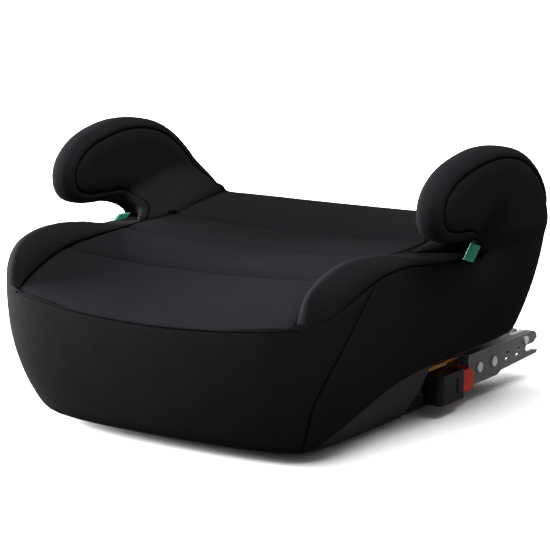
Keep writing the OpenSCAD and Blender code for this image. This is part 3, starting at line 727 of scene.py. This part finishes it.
def face_grid(outer):
    """Face of the arm behind the split, from its foot up to the rim."""
    if outer:
        foot = np.full_like(ARM_Y, SLOT_Z)
    else:
        behind = ARM_Y - SPLIT_Y
        edge = np.maximum(seat_edge_z(ARM_Y), SLOT_Z)
        foot = mix(float(SLOT_Z), edge, smooth(behind / 10)) - 4 * smooth(behind / 30)
    top = np.maximum(seam_top_z(ARM_Y, outer), foot + 0.3)
    z = mix(foot[None, :], top[None, :], ARM_ROWS[:, None])
    return arm_point(np.repeat(ARM_Y[None, :], len(ARM_ROWS), 0), z, outer)


def hook_grid(outer):
    """Face of the arm ahead of the split, out to the nose."""
    s = spaced(115, near=1.0, far=4, high=False)
    rim = seam_rim(outer)
    k = np.argmin(np.abs(rim[:TOP_ONLY, 0] - SPLIT_Y))
    upper = resample(rim[k:NOSE + 1][::-1], s)
    lower = resample(np.vstack([rim[NOSE:], [[SPLIT_Y, SLOT_Z]]]), s)
    upper[-1] = [SPLIT_Y, seam_top_z(float(SPLIT_Y), outer)]
    lower[-1] = [SPLIT_Y, SLOT_Z]
    pts = lower[None] + (upper - lower)[None] * ARM_ROWS[:, None, None]
    return arm_point(pts[..., 0], pts[..., 1], outer)


def rim_line(outer):
    rim = seam_rim(outer)
    return arm_point(rim[:, 0], rim[:, 1], outer)


def foot_seam():
    """Where the inner face of the arm meets the seat."""
    z = mix(float(SLOT_Z), seat_edge_z(ARM_Y), smooth((ARM_Y - SPLIT_Y) / 10))
    return np.stack([inner_x(ARM_Y), ARM_Y, z], -1)


def band_grid():
    """Gusset band around the rim of the arm, domed between its two seams."""
    path = resample(RIM, spaced(RIM_S[-1], near=1, far=3))
    n = outward(path)
    run = lengths(path)
    w = (0.5 - 0.5 * np.cos(math.pi * spaced(56, near=0.7, far=2.6)))[None, :]
    inner_in, outer_in = seam_inset(run, False)[:, None], seam_inset(run, True)[:, None]
    sink = mix(inner_in, outer_in, smooth(w))
    lift = -sink + (sink + 0.8) * (1 - np.abs(2 * w - 1) ** 3.2) ** 0.5
    inner, outer = path - n * inner_in, path - n * outer_in
    x0 = arm_in_x(inner[:, 0], inner[:, 1]) + SHOULDER
    x1 = arm_out_x(outer[:, 0], outer[:, 1]) - SHOULDER
    x = mix(x0[:, None], x1[:, None], w)
    return flare(np.stack([x, path[:, 0:1] + n[:, 0:1] * lift, path[:, 1:2] + n[:, 1:2] * lift], -1))


def backed(built, mirror):
    """The same sheet with a strip of knit behind each of the arm's two seams."""
    v, faces, dark = built
    keep = (RIM_S > 12) & (RIM_S < CORNER_S - 6)
    up = np.insert(RIM_N[keep], 0, 0.0, axis=1)
    for outer, across in ((True, np.array([-1.0, 0, 0])), (False, np.array([1.0, 0, 0]))):
        seam = rim_line(outer)[keep]
        rise = up * (seam_inset(RIM_S[keep], outer) - 3.5)[:, None]
        under_face = seam - up * 9 + across * 3.6
        under_seam = seam + across * 3 + rise * 0.4
        under_band = seam + across * 7 + rise
        strip = np.stack([under_face, under_seam, under_band], 1)
        if mirror:
            strip = strip * [-1, 1, 1]
        ids = len(v) + np.arange(strip[..., 0].size).reshape(-1, 3)
        v = np.vstack([v, strip.reshape(-1, 3)])
        faces = faces + quads(ids)
        # the strips behind the seams take painted shade
        dark = np.concatenate([dark, np.full(ids.size, PAINTED_EDGE_SHADE)])
    return v, faces, dark


def side_cover(mirror):
    side = side_grid()
    seams = [side[-1, :len(SIDE_COLS)], side[:, 0], side[:, -1], rim_line(True)]
    sheet = Sheet().add(side).add(face_grid(True)).add(hook_grid(True))
    return sheet.finish(seams, hems=[side[0]], mirror=mirror, out=lambda v: [1, 0, 0])


def inner_face(mirror):
    foot = foot_seam()
    sheet = Sheet().add(face_grid(False)).add(hook_grid(False))
    return sheet.finish([rim_line(False), foot], mirror=mirror, out=lambda v: [-1, 0, 0], tips=[foot[0]])


def arm_band(mirror):
    band = band_grid()
    hoop = Sheet().add(band).finish([band[:, 0], band[:, -1]], hems=[band[0], band[-1]], mirror=mirror,
                                    out=lambda v: v - [189, 60, 190])
    return backed(hoop, mirror)


def bolster(mirror):
    grid, seams, tip = bolster_grid()
    return Sheet().add(grid).finish(seams, groove=SOFT_GROOVE, mirror=mirror,
                                    out=lambda v: v - [150, -50, 60], tips=[tip])


for side, mirror in (("right", False), ("left", True)):
    piece(f"side_cover_{side}", side_cover(mirror), f"side_panel_{side}", "cover_fabric")
    piece(f"arm_inner_face_{side}", inner_face(mirror), f"arm_pad_{side}", "cover_fabric")
    piece(f"arm_band_{side}", arm_band(mirror), f"arm_pad_{side}", "cover_fabric")
    piece(f"bolster_knit_{side}", bolster(mirror), f"bolster_{side}", "cover_fabric")


# ---- rear panel, folded over towards the seat ----
def rear_grid():
    half = math.pi / 2 - angle_at(REAR_SEAM_Y, 100.0)
    t = mix(math.pi / 2 + half, math.pi / 2 - half, spaced(380, near=1, far=6))
    fold_z = 144.0
    rows = [outline_pt(t, z) for z in mix(58.0, fold_z, spaced(86, near=1, far=5, high=False))]
    for inset, z in ((0.6, 145.4), (2.0, 146.4), (5.0, 147.2), (12.0, 147.8), (20.0, 148.0)):
        rows.append(outline_pt(t, fold_z, inset) + [0, 0, z - fold_z])
    return np.array(rows)


rear = rear_grid()
piece("rear_panel_knit", Sheet().add(rear).finish([rear[:, 0], rear[:, -1]], hems=[rear[0]]),
      "rear_panel", "cover_fabric")

# ---- belt guide tabs: folded webbing sewn into the foot of the slot ----
TAB_SIZE = 16
TAB_HALF = 1.2
# centre and the two sides of each tab, which lie differently, as loose webbing does
TABS = {"right": ([185.9, 30.0, 148.4], [0.0, 15.3, -5.0], [0.0, 13.0, 12.0]),
        "left": ([-176.0, 25.6, 146.0], [0.0, 16.4, -1.5], [0.0, 12.1, 7.4])}


def tab(centre, u, v):
    """A parallelogram with rounded edges, spanned by u and v."""
    w = np.cross(u, v)
    w /= np.linalg.norm(w)
    pts, faces = [], []
    a = spaced(TAB_SIZE, near=0.4, far=2)
    n = len(a)
    for k, s in enumerate((1, -1)):
        for p in a:
            for q in a:
                edge = min(p, 1 - p, q, 1 - q) * TAB_SIZE
                thick = TAB_HALF * math.sqrt(1 - (1 - min(1, edge / TAB_HALF)) ** 2)
                pts.append(centre + u * (p - 0.5) + v * (q - 0.5) + w * s * thick)
        for i in range(n - 1):
            for j in range(n - 1):
                o = k * n * n + i * n + j
                f = [o, o + n, o + n + 1, o + 1]
                faces.append(f if s > 0 else f[::-1])
    return np.array(pts), faces


for side, spans in TABS.items():
    piece(f"belt_tab_{side}", tab(*map(np.array, spans)), f"belt_guide_{side}", "guide_tab")

# ---- foam under the cover ----
FOAM_FLOOR = 116.5


def block(top):
    """A closed solid between a grid and the foam's floor."""
    low = top.copy()
    low[..., 2] = FOAM_FLOOR
    m, n = top.shape[:2]
    v = np.vstack([top.reshape(-1, 3), low.reshape(-1, 3)])
    ids = np.arange(m * n).reshape(m, n)
    faces = []
    for q in quads(ids):
        faces += [q, [a + m * n for a in q[::-1]]]
    ring = [*ids[0], *ids[1:, -1], *ids[-1, -2::-1], *ids[-2:0:-1, 0]]
    for a, b in zip(ring, ring[1:] + ring[:1]):
        faces.append([b, a, a + m * n, b + m * n])
    return v, faces


def seat_foam_top():
    side, y = np.meshgrid(np.linspace(-1, 1, 25), np.linspace(-118, 168, 40))
    x = side * (inner_x(y) - 8)
    return np.stack([x, y, np.maximum(seat_z(x, y, False) - 10, 118)], -1)


def side_foam_top():
    t, y = np.meshgrid(np.linspace(0, 1, 6), np.linspace(50, 158, 20))
    return np.stack([mix(inner_x(y) + 6, side_x(y, 130.0) - 9, t), y, np.full_like(y, 141.0)], -1)


piece("seat_foam_block", block(seat_foam_top()), "seat_foam", "foam", smooth_shade=False)
for side, mirror in (("right", False), ("left", True)):
    v, faces = block(side_foam_top())
    if mirror:
        v, faces = v * [-1, 1, 1], [f[::-1] for f in faces]
    piece(f"side_foam_block_{side}", (v, faces), f"side_foam_{side}", "foam", smooth_shade=False)

# ---- finishes of the carried-over parts ----
slots = {s["node"]: s["material_slot"] for s in frame["record"]["subparts"]}
for name, o in frame["nodes"].items():
    o.data.materials.clear()
    o.data.materials.append(MAT[slots[name]])


# ---- floor, light and camera ----
def by_ray(nt, unseen, seen):
    """A value that differs between what the camera sees and what lights the object."""
    path_node = nt.nodes.new("ShaderNodeLightPath")
    pick = nt.nodes.new("ShaderNodeMapRange")
    pick.inputs["To Min"].default_value = unseen
    pick.inputs["To Max"].default_value = seen
    nt.links.new(path_node.outputs["Is Camera Ray"], pick.inputs["Value"])
    return pick.outputs["Result"]


def studio_floor():
    m = bpy.data.materials.new("floor")
    m.use_nodes = True
    nt = m.node_tree
    diffuse = nt.nodes.new("ShaderNodeBsdfDiffuse")
    tc = nt.nodes.new("ShaderNodeTexCoord")
    far = nt.nodes.new("ShaderNodeVectorMath")
    far.operation = "LENGTH"
    nt.links.new(tc.outputs["Object"], far.inputs[0])
    reach = nt.nodes.new("ShaderNodeMath")
    reach.operation = "MULTIPLY"
    reach.inputs[1].default_value = 1 / 8
    nt.links.new(far.outputs["Value"], reach.inputs[0])
    even = ramp(nt, reach.outputs["Value"], [(0.04, (1.0,) * 3), (0.125, (1.5,) * 3), (0.25, (2.4,) * 3),
                                             (0.5, (3.6,) * 3), (1.0, (4.2,) * 3)])
    pick = nt.nodes.new("ShaderNodeMixRGB")
    pick.inputs["Color1"].default_value = (0.22, 0.22, 0.22, 1)
    nt.links.new(by_ray(nt, 0.0, 1.0), pick.inputs["Fac"])
    nt.links.new(even.outputs["Color"], pick.inputs["Color2"])
    nt.links.new(pick.outputs["Color"], diffuse.inputs["Color"])
    nt.links.new(diffuse.outputs["BSDF"], nt.nodes["Material Output"].inputs["Surface"])
    return m


bpy.ops.mesh.primitive_plane_add(size=40, location=(0, 0, -0.0005))
floor = bpy.context.object
floor.name = "floor"
floor.data.materials.append(studio_floor())

world = bpy.data.worlds.new("studio")
bpy.context.scene.world = world
world.use_nodes = True
wt = world.node_tree
back = wt.nodes["Background"]
back.inputs["Color"].default_value = (1, 1, 1, 1)
wt.links.new(by_ray(wt, 0.3, 1.1), back.inputs["Strength"])


def aim(o, target):
    o.rotation_euler = (Vector(target) - o.location).to_track_quat("-Z", "Y").to_euler()


def area(name, loc, size, power):
    data = bpy.data.lights.new(name, "AREA")
    data.shape = "RECTANGLE"
    data.size, data.size_y = size
    data.energy = power
    o = bpy.data.objects.new(name, data)
    o.location = loc
    aim(o, (0, 0, 0.1))
    bpy.context.scene.collection.objects.link(o)


area("key", (-2.4, -0.3, 0.45), (1.0, 0.7), 390)
area("top", (0.5, -0.35, 2.0), (1.8, 1.4), 62)

cam_data = bpy.data.cameras.new("camera")
cam = bpy.data.objects.new("camera", cam_data)
bpy.context.scene.collection.objects.link(cam)
cam_data.sensor_width = 36
cam_data.lens = 137.45
cam_data.shift_x = -0.0247
cam_data.shift_y = -0.002
cam_data.clip_end = 100
cam.location = (0.9957, -1.4787, 0.4556)
aim(cam, (0, 0.0375, 0.110))
bpy.context.scene.camera = cam
bpy.context.scene.view_settings.view_transform = "Standard"

bpy.context.view_layer.update()
